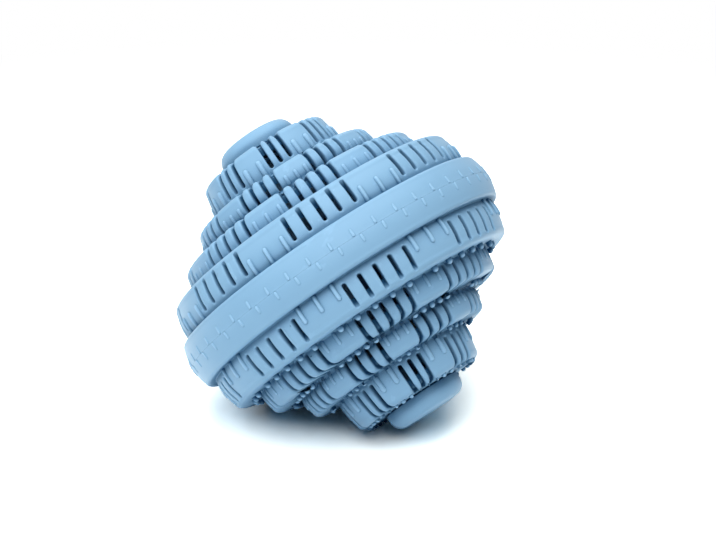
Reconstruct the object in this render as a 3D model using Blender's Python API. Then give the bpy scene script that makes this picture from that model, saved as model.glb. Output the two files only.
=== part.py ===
"""Laundry ball: a hollow terraced ball of two identical half shells with a four chamber core of beads.

All lengths are metres. The ball is modelled upright, with its axis on Z, under one empty
that lays it over on its lower rims, so the object frame is the resting pose with +Z up.
"""

from math import atan2, cos, hypot, pi, radians, sin

import bmesh
import bpy
import numpy as np
from mathutils import Matrix, Vector

MM = 0.001

# Outside of one half shell: radii as insets from the band, heights from the parting plane.
BAND_RADIUS = 52.5 * MM
BAND_EDGE_INSET = 1.2 * MM
BAND_HALF_HEIGHT = 6.8 * MM
BAND_EDGE_ROUND = 1.2 * MM
TIER_BASE_INSETS = (3.1 * MM, 12.5 * MM, 21.5 * MM, 30.1 * MM)
TIER_TOP_INSETS = (4.9 * MM, 13.4 * MM, 22.9 * MM, 31.8 * MM)
TIER_TOPS = (17.3 * MM, 24.4 * MM, 32.2 * MM, 43.0 * MM)
SHOULDER_ROUND = 2.0 * MM
WALL = 1.9 * MM
GAP = 0.3 * MM

# Slots of one half shell, counted in groups that repeat all round each tier.
GROUPS = 8
SLOT_WIDTH = 1.4 * MM
SLOTS_PER_GROUP = (5, 5, 4, 3)
SLOT_PITCH = (radians(6.0), radians(6.0), radians(7.4), radians(8.6))
GROUP_OFFSET = (radians(-2.5), radians(1.5), radians(-21.3), radians(1.7))
SLOT_FOOT = (1.9 * MM, 0.3 * MM, 0.3 * MM, 1.7 * MM)
SLOT_HEAD = (-0.9 * MM, 1.0 * MM, 1.0 * MM, 1.0 * MM)
SLOT_INSET = 0.7 * MM
SLOT_OVERRUN = 1.0 * MM

# Where the half shells and the core stand about the axis.
MATCH_AZIMUTH = radians(-39.95)
DIVIDER_AZIMUTH = radians(-31.7)

# Joining ring inside the band.
RING_THICKNESS = 1.5 * MM
RING_HALF_HEIGHT = 5.7 * MM

# End caps, spindle and bead divider.
CAP_RADIUS = 12.0 * MM
CAP_TOP = 49.0 * MM
CAP_ROUND = 3.4 * MM
STEM_RADIUS = 9.2 * MM
STEM_LENGTH = 3.6 * MM
SPINDLE_RADIUS = 3.0 * MM
SPINDLE_CHAMFER = 0.5 * MM
SOCKET_DEPTH = 3.4 * MM
HUB_WALL = 1.3 * MM
VANE_THICKNESS = 1.6 * MM
VANE_CLEARANCE = 0.7 * MM
VANE_SETBACK = 5.2 * MM
VANES = 4

# Beads.
BEAD_RADIUS = 3.8 * MM
BEAD_WALL_GAP = 0.4 * MM
BEADS_PER_CHAMBER = 7
BEAD_KINDS = ("white", "grey", "green", "red")

# Settling of the beads: number of small moves, length of one, and rounds of pushing apart after each.
SETTLE_STEPS = 2400
SETTLE_STRIDE = 0.12 * MM
SETTLE_ROUNDS = 6

# Facets.
SHELL_SEGMENTS = 48
SMALL_SEGMENTS = 24
ROUND_STEPS = 2

FINISHES = {
    "shell_plastic": ((0.29, 0.52, 0.72), 0.42, 0.0),
    "core_plastic": ((0.24, 0.46, 0.68), 0.45, 0.0),
    "ring_plastic": ((0.26, 0.48, 0.69), 0.45, 0.0),
    "spindle_plastic": ((0.62, 0.66, 0.70), 0.40, 0.0),
    "bead_white": ((0.86, 0.84, 0.78), 0.60, 0.0),
    "bead_grey": ((0.33, 0.34, 0.35), 0.60, 0.0),
    "bead_green": ((0.38, 0.46, 0.33), 0.60, 0.0),
    "bead_red": ((0.55, 0.27, 0.19), 0.60, 0.0),
}


def clear_scene():
    for item in list(bpy.data.objects):
        bpy.data.objects.remove(item, do_unlink=True)


def make_material(name, suffix):
    colour, roughness, metallic = FINISHES[name]
    material = bpy.data.materials.new(name + suffix)
    material.use_nodes = True
    shader = material.node_tree.nodes["Principled BSDF"]
    shader.inputs["Base Color"].default_value = (*colour, 1.0)
    shader.inputs["Roughness"].default_value = roughness
    shader.inputs["Metallic"].default_value = metallic
    material.diffuse_color = (*colour, 1.0)
    return material


def add_object(name, mesh, parent=None, material=None):
    item = bpy.data.objects.new(name, mesh)
    bpy.context.scene.collection.objects.link(item)
    item.parent = parent
    if material is not None:
        mesh.materials.append(make_material(material, "_" + name))
    return item


def add_empty(name, parent=None, matrix=None):
    item = bpy.data.objects.new(name, None)
    bpy.context.scene.collection.objects.link(item)
    item.parent = parent
    if matrix is not None:
        item.matrix_local = matrix
    return item


def arc_points(centre, radius, start, end, steps):
    """Points on an arc in the radius and height plane, both ends included."""
    points = []
    for step in range(steps + 1):
        angle = start + (end - start) * step / steps
        points.append((centre[0] + radius * cos(angle), centre[1] + radius * sin(angle)))
    return points


def revolve(name, profile, segments, start=0.0, closed=True):
    """Turn a radius and height outline about Z into one closed body."""
    mesh = bpy.data.meshes.new(name)
    bm = bmesh.new()
    rings = []
    for radius, height in profile:
        if radius < 1e-9:
            rings.append([bm.verts.new((0.0, 0.0, height))])
            continue
        ring = []
        for index in range(segments):
            angle = start + 2.0 * pi * index / segments
            ring.append(bm.verts.new((radius * cos(angle), radius * sin(angle), height)))
        rings.append(ring)
    pairs = list(zip(rings, rings[1:]))
    if closed:
        pairs.append((rings[-1], rings[0]))
    for low, high in pairs:
        for index in range(segments):
            after = (index + 1) % segments
            corners = []
            for vert in (low[index % len(low)], low[after % len(low)],
                         high[after % len(high)], high[index % len(high)]):
                if vert not in corners:
                    corners.append(vert)
            if len(corners) > 2:
                bm.faces.new(corners)
    bmesh.ops.recalc_face_normals(bm, faces=bm.faces)
    bm.to_mesh(mesh)
    bm.free()
    return mesh


def add_block(bm, matrix, size):
    """A box with the given edge lengths, centred in the given matrix."""
    scale = Matrix.Diagonal((size[0], size[1], size[2], 1.0))
    bmesh.ops.create_cube(bm, size=1.0, matrix=matrix @ scale)


def smooth(item, angle=radians(32.0)):
    item.data.shade_smooth()
    item.data.set_sharp_from_angle(angle=angle)


def boolean(item, other, operation):
    other.hide_render = True
    other.display_type = "WIRE"
    modifier = item.modifiers.new(operation.lower(), "BOOLEAN")
    modifier.operation = operation
    modifier.solver = "EXACT"
    modifier.object = other


def base_radii():
    return tuple(BAND_RADIUS - inset for inset in TIER_BASE_INSETS)


def top_radii():
    return tuple(BAND_RADIUS - inset for inset in TIER_TOP_INSETS)


def inner_radii():
    return tuple(radius - WALL for radius in top_radii())


def inner_tops():
    return tuple(top - WALL for top in TIER_TOPS)


def ring_seat_radius():
    return inner_radii()[0] + RING_THICKNESS + 2.0 * GAP


def shell_profile():
    """Outline of one half shell from the parting plane outward and up, then back inside."""
    shoulder = BAND_HALF_HEIGHT - BAND_EDGE_ROUND
    points = [(BAND_RADIUS, 0.5 * GAP)]
    points.append((BAND_RADIUS - 0.25 * BAND_EDGE_INSET, 0.5 * shoulder))
    points.append((BAND_RADIUS - BAND_EDGE_INSET, shoulder))
    points.append((BAND_RADIUS - BAND_EDGE_INSET - BAND_EDGE_ROUND, BAND_HALF_HEIGHT))
    for base, top, height in zip(base_radii(), top_radii(), TIER_TOPS):
        if base < points[-1][0]:
            points.append((base, points[-1][1]))
        centre = (top - SHOULDER_ROUND, height - SHOULDER_ROUND)
        points += arc_points(centre, SHOULDER_ROUND, 0.0, 0.5 * pi, ROUND_STEPS)
    points.append((STEM_RADIUS + GAP, TIER_TOPS[-1]))
    points.append((STEM_RADIUS + GAP, inner_tops()[-1]))
    for radius, height, below in reversed(list(zip(inner_radii(), inner_tops(), inner_tops()[-1:] + inner_tops()))):
        points.append((radius, height))
        if radius < inner_radii()[0]:
            points.append((radius, below))
    points.append((inner_radii()[0], RING_HALF_HEIGHT + GAP))
    points.append((ring_seat_radius(), RING_HALF_HEIGHT + GAP))
    points.append((ring_seat_radius(), 0.5 * GAP))
    return points


def slot_cutter(name, parent):
    """Every slot of one half shell as one radial block each."""
    mesh = bpy.data.meshes.new(name)
    bm = bmesh.new()
    bases = (BAND_HALF_HEIGHT,) + TIER_TOPS[:-1]
    for tier, count in enumerate(SLOTS_PER_GROUP):
        inner = inner_radii()[tier] - SLOT_INSET
        outer = base_radii()[tier] + SLOT_OVERRUN
        low = bases[tier] + SLOT_FOOT[tier]
        high = TIER_TOPS[tier] + SLOT_HEAD[tier]
        for group in range(GROUPS):
            centre = GROUP_OFFSET[tier] + 2.0 * pi * group / GROUPS
            for index in range(count):
                angle = centre + (index - 0.5 * (count - 1)) * SLOT_PITCH[tier]
                place = Matrix.Rotation(angle, 4, "Z") @ Matrix.Translation(
                    (0.5 * (inner + outer), 0.0, 0.5 * (low + high)))
                add_block(bm, place, (outer - inner, SLOT_WIDTH, high - low))
    bm.to_mesh(mesh)
    bm.free()
    return add_object(name, mesh, parent)


def build_shell(name, parent, floor_azimuth):
    """One half shell, with the middle of a facet turned to the floor."""
    step = 2.0 * pi / SHELL_SEGMENTS
    mesh = revolve(name, shell_profile(), SHELL_SEGMENTS, floor_azimuth + 0.5 * step)
    shell = add_object(name, mesh, parent, "shell_plastic")
    smooth(shell)
    boolean(shell, slot_cutter(name + "_slots", parent), "DIFFERENCE")


def build_cap(name, parent):
    """End cap: a rounded button outside, a stem through the shell and a blind spindle socket."""
    under = TIER_TOPS[-1] + GAP
    stem_end = inner_tops()[-1] - (STEM_LENGTH - WALL)
    socket = stem_end + SOCKET_DEPTH
    bore = SPINDLE_RADIUS + GAP
    points = [(0.0, socket), (bore, socket), (bore, stem_end), (STEM_RADIUS, stem_end)]
    points += [(STEM_RADIUS, under), (CAP_RADIUS, under)]
    centre = (CAP_RADIUS - CAP_ROUND, CAP_TOP - CAP_ROUND)
    points += arc_points(centre, CAP_ROUND, 0.0, 0.5 * pi, 3)
    points.append((0.0, CAP_TOP))
    mesh = revolve(name, points, SMALL_SEGMENTS, 0.0, closed=False)
    cap = add_object(name, mesh, parent, "shell_plastic")
    smooth(cap)


def build_ring(parent):
    """Joining ring that stands half in each shell inside the band."""
    outer = ring_seat_radius() - GAP
    inner = outer - RING_THICKNESS
    points = [(outer, -RING_HALF_HEIGHT), (outer, RING_HALF_HEIGHT)]
    points += [(inner, RING_HALF_HEIGHT), (inner, -RING_HALF_HEIGHT)]
    ring = add_object("joining_ring", revolve("joining_ring", points, SHELL_SEGMENTS), parent, "ring_plastic")
    smooth(ring)


def spindle_end():
    stem_end = inner_tops()[-1] - (STEM_LENGTH - WALL)
    return stem_end + SOCKET_DEPTH - GAP


def build_spindle(parent):
    """Round rod held in the sockets of both caps."""
    end = spindle_end()
    points = [(0.0, -end), (SPINDLE_RADIUS - SPINDLE_CHAMFER, -end), (SPINDLE_RADIUS, SPINDLE_CHAMFER - end)]
    points += [(SPINDLE_RADIUS, end - SPINDLE_CHAMFER), (SPINDLE_RADIUS - SPINDLE_CHAMFER, end), (0.0, end)]
    mesh = revolve("spindle", points, SMALL_SEGMENTS, 0.0, closed=False)
    spindle = add_object("spindle", mesh, parent, "spindle_plastic")
    smooth(spindle)


def hub_radius():
    return SPINDLE_RADIUS + GAP + HUB_WALL


def vane_outline():
    """Edge of one vane: close to the wall in the lower half and set back in the upper half."""
    radii = inner_radii()
    tops = inner_tops()
    inside = hub_radius() - 0.5 * HUB_WALL
    points = [(inside, VANE_CLEARANCE - tops[3] + STEM_LENGTH)]
    points.append((radii[3] - VANE_CLEARANCE, points[0][1]))
    for tier in (2, 1, 0):
        level = VANE_CLEARANCE - tops[tier]
        points.append((radii[tier + 1] - VANE_CLEARANCE, level))
        points.append((radii[tier] - VANE_CLEARANCE, level))
    points.append((radii[0] - VANE_CLEARANCE, 0.0))
    points.append((radii[0] - VANE_SETBACK, VANE_CLEARANCE))
    points.append((radii[1] - VANE_SETBACK, tops[0] - 0.5 * VANE_SETBACK))
    points.append((radii[3] - 0.5 * VANE_SETBACK, tops[2] - 0.5 * VANE_SETBACK))
    points.append((inside, tops[2] - 0.5 * VANE_SETBACK))
    return points


def build_divider(parent):
    """Hub tube with four vanes that keep the four kinds of bead apart."""
    outer = hub_radius()
    bore = SPINDLE_RADIUS + GAP
    end = inner_tops()[-1] - (STEM_LENGTH - WALL) - GAP
    mesh = revolve("chamber_divider", [(outer, -end), (outer, end), (bore, end), (bore, -end)], SMALL_SEGMENTS)
    divider = add_object("chamber_divider", mesh, parent, "core_plastic")
    smooth(divider)
    vanes = bpy.data.meshes.new("vanes")
    bm = bmesh.new()
    for index in range(VANES):
        turn = Matrix.Rotation(2.0 * pi * index / VANES, 4, "Z")
        near = [bm.verts.new(turn @ Vector((r, -0.5 * VANE_THICKNESS, z))) for r, z in vane_outline()]
        far = [bm.verts.new(turn @ Vector((r, 0.5 * VANE_THICKNESS, z))) for r, z in vane_outline()]
        bm.faces.new(near)
        bm.faces.new(far)
        for place in range(len(near)):
            after = (place + 1) % len(near)
            bm.faces.new((near[place], near[after], far[after], far[place]))
    bmesh.ops.recalc_face_normals(bm, faces=bm.faces)
    bm.to_mesh(vanes)
    bm.free()
    boolean(divider, add_object("divider_vanes", vanes, parent), "UNION")


def lean_angle():
    """Lean of the axis when the ball lies on the lower rims of its first and last tiers."""
    rise = TIER_TOPS[3] - TIER_TOPS[0]
    run = TIER_TOP_INSETS[3] - TIER_TOP_INSETS[0]
    return atan2(rise, run)


def clamp_to_chamber(points):
    """Move bead centres inside the chamber that lies between two vanes, here +X and +Y."""
    reach = BEAD_RADIUS + BEAD_WALL_GAP
    wall = 0.5 * VANE_THICKNESS + reach
    points[:, 0] = np.maximum(points[:, 0], wall)
    points[:, 1] = np.maximum(points[:, 1], wall)
    radius = np.hypot(points[:, 0], points[:, 1])
    scale = np.maximum(radius, hub_radius() + reach) / radius
    limit = np.minimum(radius * scale, inner_radii()[0] - reach) / radius
    points[:, :2] *= limit[:, None]
    radii = inner_radii()
    tops = inner_tops()
    for first, second in ((0, 1), (1, 2)):
        run = radii[first + 1] - radii[second + 1]
        rise = tops[second] - tops[first]
        length = hypot(run, rise)
        normal = (rise / length, run / length)
        offset = normal[0] * radii[first + 1] + normal[1] * tops[first] - reach
        radius = np.hypot(points[:, 0], points[:, 1])
        over = normal[0] * radius + normal[1] * np.abs(points[:, 2]) - offset
        push = np.maximum(over, 0.0)
        points[:, :2] *= ((radius - push * normal[0]) / radius)[:, None]
        points[:, 2] -= np.sign(points[:, 2]) * push * normal[1]


def settle_beads(pull):
    """Bead centres of one chamber after they have sunk along the pull and pushed each other apart."""
    spacing = 2.0 * BEAD_RADIUS + GAP
    columns = 2
    rows = (BEADS_PER_CHAMBER + columns - 1) // columns
    points = []
    for index in range(BEADS_PER_CHAMBER):
        across = hub_radius() + spacing * (1 + index % columns)
        row = index // columns
        points.append((across, 2.0 * spacing - 0.2 * spacing * row, spacing * (row - 0.5 * (rows - 1))))
    points = np.array(points)
    moving = 0.8 * SETTLE_STEPS
    for step in range(SETTLE_STEPS):
        fade = max(0.0, 1.0 - step / moving)
        points += pull * SETTLE_STRIDE * fade
        for _ in range(SETTLE_ROUNDS):
            clamp_to_chamber(points)
            delta = points[:, None, :] - points[None, :, :]
            distance = np.linalg.norm(delta, axis=2)
            np.fill_diagonal(distance, 1.0)
            overlap = np.maximum(spacing - distance, 0.0)
            points += 0.35 * (delta * (overlap / distance)[:, :, None]).sum(axis=1)
        clamp_to_chamber(points)
    return points


def build_beads(parent):
    """Beads at rest in the four chambers of the divider."""
    lean = lean_angle()
    for chamber, kind in enumerate(BEAD_KINDS):
        turn = DIVIDER_AZIMUTH + 2.0 * pi * chamber / VANES
        spin = Matrix.Rotation(-turn, 3, "Z")
        pull = spin @ Vector((-sin(lean), 0.0, -cos(lean)))
        points = settle_beads(np.array(pull))
        local = Matrix.Rotation(2.0 * pi * chamber / VANES, 3, "Z")
        for index, point in enumerate(points):
            name = "bead_%s_%d" % (kind, index + 1)
            mesh = bpy.data.meshes.new(name)
            bm = bmesh.new()
            bmesh.ops.create_icosphere(bm, subdivisions=2, radius=BEAD_RADIUS)
            bm.to_mesh(mesh)
            bm.free()
            bead = add_object(name, mesh, parent, "bead_" + kind)
            bead.location = local @ Vector(point)
            smooth(bead, radians(60.0))


def main():
    clear_scene()
    lean = add_empty("lean", None, Matrix.Rotation(-lean_angle(), 4, "Y"))
    lower = add_empty("lower_half", lean, Matrix.Rotation(MATCH_AZIMUTH, 4, "Z") @ Matrix.Rotation(pi, 4, "X"))
    upper = add_empty("upper_half", lean, Matrix.Rotation(MATCH_AZIMUTH, 4, "Z"))
    core = add_empty("core", lean, Matrix.Rotation(DIVIDER_AZIMUTH, 4, "Z"))
    floor_azimuth = MATCH_AZIMUTH - pi
    build_shell("shell_lower", lower, floor_azimuth)
    build_cap("cap_lower", lower)
    build_shell("shell_upper", upper, floor_azimuth)
    build_cap("cap_upper", upper)
    build_ring(lean)
    build_spindle(lean)
    build_divider(core)
    build_beads(core)
    bpy.context.view_layer.update()


main()
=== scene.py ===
"""Dressed scene of a laundry ball: a terraced, slotted ball of two half shells with a core of beads.

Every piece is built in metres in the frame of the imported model. One half shell is modelled upright,
with its own axis on Z, and is used twice: once as it stands and once turned over.
"""

from __future__ import annotations

import logging
from dataclasses import dataclass
from enum import Enum
from math import acos, asin, atan2, cos, degrees, pi, radians, sin, sqrt

import bmesh
import bpy
import numpy as np
from bpy.types import Material, Mesh, Node, NodeSocket, NodeTree, Object
from mathutils import Matrix, Vector

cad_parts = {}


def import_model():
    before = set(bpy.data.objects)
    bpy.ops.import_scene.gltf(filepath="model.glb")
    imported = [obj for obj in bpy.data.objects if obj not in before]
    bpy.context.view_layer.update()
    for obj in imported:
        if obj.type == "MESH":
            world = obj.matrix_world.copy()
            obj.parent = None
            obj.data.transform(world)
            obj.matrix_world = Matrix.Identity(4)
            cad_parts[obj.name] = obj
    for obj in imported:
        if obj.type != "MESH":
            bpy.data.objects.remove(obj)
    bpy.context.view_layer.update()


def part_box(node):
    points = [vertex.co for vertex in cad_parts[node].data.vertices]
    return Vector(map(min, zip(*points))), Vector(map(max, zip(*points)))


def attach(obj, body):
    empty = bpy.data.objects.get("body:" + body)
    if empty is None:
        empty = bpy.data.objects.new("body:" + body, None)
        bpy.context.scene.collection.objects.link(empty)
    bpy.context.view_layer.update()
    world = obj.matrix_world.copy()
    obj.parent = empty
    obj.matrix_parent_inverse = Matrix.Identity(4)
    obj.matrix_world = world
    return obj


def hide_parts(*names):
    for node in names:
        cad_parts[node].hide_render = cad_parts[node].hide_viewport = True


LOG = logging.getLogger("laundry_ball")
MM = 0.001
# Height of the hidden foot of every raised form, below the surface that carries it.
SUNK = -0.45 * MM
# A little less than one, so that a rounding error adds no step.
NEARLY = 0.999
WHITE = (1.0, 1.0, 1.0)
Point = tuple[float, float]
Place = tuple[float, float, float]
Colour = tuple[float, float, float]
Row = tuple[float, ...]
Form = tuple[np.ndarray, list[tuple[int, ...]]]


class Half(Enum):
    """The two half shells of the ball."""

    UPPER = "upper"
    LOWER = "lower"

    @property
    def body(self) -> str:
        """Name of the moving body that this half belongs to."""
        return self.value + "_half"


class BeadKind(Enum):
    """The four kinds of ceramic bead, in the order of their chambers."""

    WHITE = "white"
    GREY = "grey"
    GREEN = "green"
    RED = "red"


@dataclass(frozen=True)
class Marks:
    """Marks that come in one group for each eighth of a turn, with angles in radians."""

    count: int
    pitch: float
    offset: float

    def turns(self, groups: int) -> list[float]:
        """Angles of all the marks.

        Args:
            groups: Number of groups round the axis.

        Returns:
            The angles, group by group.
        """
        step = 2.0 * pi / groups
        spread = [(index - 0.5 * (self.count - 1)) * self.pitch for index in range(self.count)]
        return [self.offset + group * step + shift for group in range(groups) for shift in spread]


@dataclass(frozen=True)
class Tier:
    """One step of a half shell and its marks, in metres, in the frame of the half shell."""

    base_radius: float
    top_radius: float
    crown: float
    foot: float
    top: float
    slots: Marks
    slot_foot: float
    slot_head: float
    ticks: Marks
    tick_top: float
    tick_width: float
    tick_height: float
    nubs: Marks
    nub_circle: float
    nub_radius: float
    nub_height: float
    mark_light: float

    @classmethod
    def of(cls, wall: Row, slots: Row, ticks: Row, nubs: Row, mark_light: float) -> Tier:
        """Make a tier from rows in millimetres and degrees.

        Args:
            wall: The sizes of the wall, from base_radius to top.
            slots: Count, pitch and offset of the slots, then their sizes.
            ticks: The same of the raised bars.
            nubs: The same of the domed studs.
            mark_light: How much lighter the raised bars look.

        Returns:
            The tier.
        """
        values = [value * MM for value in wall]
        for count, pitch, offset, *sizes in (slots, ticks, nubs):
            values += [Marks(count, radians(pitch), radians(offset)), *(size * MM for size in sizes)]
        return cls(*values, mark_light)

    @property
    def through_rim(self) -> bool:
        """True where the slots run over the shoulder on to the ledge."""
        return self.slot_head > 0.0


@dataclass(frozen=True)
class BallPlan:
    """Sizes that more than one piece of the ball needs, in metres and radians."""

    band_radius: float = 52.5 * MM
    band_edge_radius: float = 51.6 * MM
    band_half_height: float = 6.8 * MM
    band_edge_round: float = 1.2 * MM
    shoulder_round: float = 2.0 * MM
    wall: float = 1.9 * MM
    inner_fillet: float = 3.0 * MM
    gap: float = 0.3 * MM
    groups: int = 8
    slot_width: float = 1.28 * MM
    side_steps: int = 8
    match_azimuth: float = radians(-17.45)
    divider_azimuth: float = radians(-31.7)
    ring_thickness: float = 1.5 * MM
    ring_half_height: float = 5.7 * MM
    stem_radius: float = 9.2 * MM
    stem_length: float = 3.6 * MM
    cap_radius: float = 12.4 * MM
    cap_top: float = 49.0 * MM
    cap_round: float = 3.9 * MM
    socket_depth: float = 3.4 * MM
    spindle_radius: float = 3.0 * MM
    hub_wall: float = 1.3 * MM
    tiers: tuple[Tier, ...] = (
        Tier.of((48.5, 47.8, 0.62, 6.8, 17.4), (5, 6.0, 20.0, 1.9, -0.9),
                (3, 6.9, 42.5, 12.3, 1.45, 0.66), (5, 8.0, 26.5, 42.0, 0.95, 1.65), 0.55),
        Tier.of((39.9, 39.2, 0.20, 17.4, 24.7), (5, 6.0, 24.0, 0.3, 1.0),
                (3, 6.3, 46.9, 21.6, 1.2, 0.32), (5, 5.45, 0.3, 33.0, 0.95, 1.65), 0.50),
        Tier.of((29.9, 29.9, 0.50, 24.7, 32.4), (4, 7.4, 1.2, 0.3, 1.0),
                (3, 6.2, 24.2, 28.9, 1.2, 0.32), (3, 7.4, 22.4, 24.4, 0.75, 1.30), 0.50),
        Tier.of((22.0, 21.0, 0.25, 32.4, 43.0), (3, 8.6, 24.2, 1.7, 1.0),
                (2, 12.4, 46.8, 38.4, 1.75, 0.62), (5, 9.0, 20.65, 18.4, 0.80, 0.90), 0.40))

    def inner_radius(self, tier: int) -> float:
        """Radius of the inside of a tier's wall."""
        return self.tiers[tier].top_radius - self.wall

    def inner_top(self, tier: int) -> float:
        """Height of the inside of a tier's ledge."""
        return self.tiers[tier].top - self.wall

    def side(self, tier: int) -> list[Point]:
        """Outside of a tier from its foot to its shoulder, a little crowned as the real wall is.

        Args:
            tier: Number of the tier from the band.

        Returns:
            Points of radius and height, the foot included and the shoulder's start left out.
        """
        step = self.tiers[tier]
        rise = step.top - self.shoulder_round - step.foot
        points = []
        for index in range(self.side_steps):
            share = index / self.side_steps
            crown = step.crown * (1.0 - (2.0 * share - 1.0) ** 2)
            radius = step.base_radius + (step.top_radius - step.base_radius) * share + crown
            points.append((radius, step.foot + rise * share))
        return points

    def shoulder(self, tier: int, steps: int) -> list[Point]:
        """Arc of a tier's shoulder, from the wall to the ledge."""
        step, size = self.tiers[tier], self.shoulder_round
        return MeshShop.arc((step.top_radius - size, step.top - size), size, 0.0, 0.5 * pi, steps)

    @property
    def ring_seat(self) -> float:
        """Radius of the seat of the joining ring inside the band."""
        return self.inner_radius(0) + self.ring_thickness + 2.0 * self.gap

    @property
    def stem_end(self) -> float:
        """Height of the inner end of a cap's stem."""
        return self.inner_top(3) - (self.stem_length - self.wall)

    @property
    def bore(self) -> float:
        """Radius of the holes that the spindle runs in."""
        return self.spindle_radius + self.gap

    @property
    def lean(self) -> float:
        """Lean of the axis when the ball lies on its lower first and last rims."""
        first, last = self.tiers[0], self.tiers[3]
        return atan2(last.top - first.top, first.top_radius - last.top_radius)

    @property
    def rest_height(self) -> float:
        """Height of the middle of the ball above the floor.

        Returns:
            The height at which the first rim touches the floor.
        """
        first = self.tiers[0]
        reach = (first.top_radius - self.shoulder_round) * sin(self.lean)
        rise = (first.top - self.shoulder_round) * cos(self.lean)
        return reach + rise + self.shoulder_round

    @property
    def upright(self) -> Matrix:
        """Matrix from the upright ball to its resting pose."""
        return Matrix.Rotation(-self.lean, 4, "Y")

    def half_matrix(self, half: Half) -> Matrix:
        """Matrix from one half shell's own frame to the resting pose.

        Args:
            half: Which half of the ball.

        Returns:
            The matrix in the row frame.
        """
        turn = self.upright @ Matrix.Rotation(self.match_azimuth, 4, "Z")
        if half is Half.LOWER:
            turn = turn @ Matrix.Rotation(pi, 4, "X")
        return turn


@dataclass(frozen=True)
class PlasticFinish:
    """A moulded plastic: colours are linear, sizes are noise scales per metre."""

    name: str
    colour: Colour
    deep_colour: Colour
    # Colour of painted shade, which ambient occlusion lays into hollows, slot walls and under ledges.
    painted_shade_colour: Colour
    roughness: float
    roughness_spread: float = 0.07
    hollow_roughness: float = 0.35
    grain_scale: float = 5200.0
    grain_depth: float = 0.00004
    grain_bump: float = 0.55
    drift_scale: float = 60.0
    drift_contrast: float = 1.4
    drift_share: float = 0.5
    rub: float = 0.9
    rub_share: float = 0.7
    rubbed_gain: Point = (1.10, 0.03)
    raised_gain: Point = (1.16, 0.07)
    # Share of the painted shade that slot walls lose near the surface, where light still reaches them.
    cut_light: float = 0.42
    specular: float = 0.20

    def lighter(self, gain: Point) -> Colour:
        """The colour times the first number plus the second, but no lighter than white."""
        return tuple(min(1.0, channel * gain[0] + gain[1]) for channel in self.colour)


@dataclass(frozen=True)
class CeramicFinish:
    """A fired clay bead: linear colours, the depth of shade between beads, and its specks per metre."""

    name: str
    colour: Colour
    speck_colour: Colour
    shade: float = 0.80
    shade_reach: float = 0.022
    # Colour of the painted shade between beads, tinted as if their light came through blue plastic.
    painted_shade_colour: Colour = (0.020, 0.052, 0.095)
    roughness: float = 0.62
    roughness_spread: float = 0.07
    drift_scale: float = 260.0
    drift_contrast: float = 1.6
    drift_dark: float = 0.8
    speck_scale: float = 1500.0
    speck_contrast: float = 7.0
    speck_power: float = 3.0
    pit_scale: float = 3000.0
    pit_depth: float = 0.00006
    pit_bump: float = 0.8


# The plastics: linear colour, its deeper drift, the colour of painted shade in hollows, and the roughness.
SHELL_FINISH = PlasticFinish(
    "shell_plastic", (0.325, 0.575, 0.810), (0.270, 0.503, 0.735), (0.016, 0.092, 0.198), 0.46)
CORE_FINISH = PlasticFinish(
    "core_plastic", (0.275, 0.510, 0.735), (0.215, 0.430, 0.650), (0.022, 0.100, 0.210), 0.50)
RING_FINISH = PlasticFinish(
    "ring_plastic", (0.290, 0.525, 0.750), (0.225, 0.440, 0.660), (0.022, 0.105, 0.220), 0.48)
SPINDLE_FINISH = PlasticFinish(
    "spindle_plastic", (0.620, 0.660, 0.700), (0.520, 0.560, 0.600), (0.150, 0.210, 0.280), 0.38)
# The clays: linear colour, the colour of the specks, and the depth of shade where it isn't the usual one.
BEAD_FINISHES = {
    BeadKind.WHITE: CeramicFinish("bead_white", (0.820, 0.800, 0.745), (0.600, 0.560, 0.480), 0.45),
    BeadKind.GREY: CeramicFinish("bead_grey", (0.330, 0.340, 0.350), (0.150, 0.150, 0.155)),
    BeadKind.GREEN: CeramicFinish("bead_green", (0.370, 0.450, 0.320), (0.200, 0.240, 0.160)),
    BeadKind.RED: CeramicFinish("bead_red", (0.310, 0.185, 0.152), (0.205, 0.105, 0.082), 0.95),
}


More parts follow.
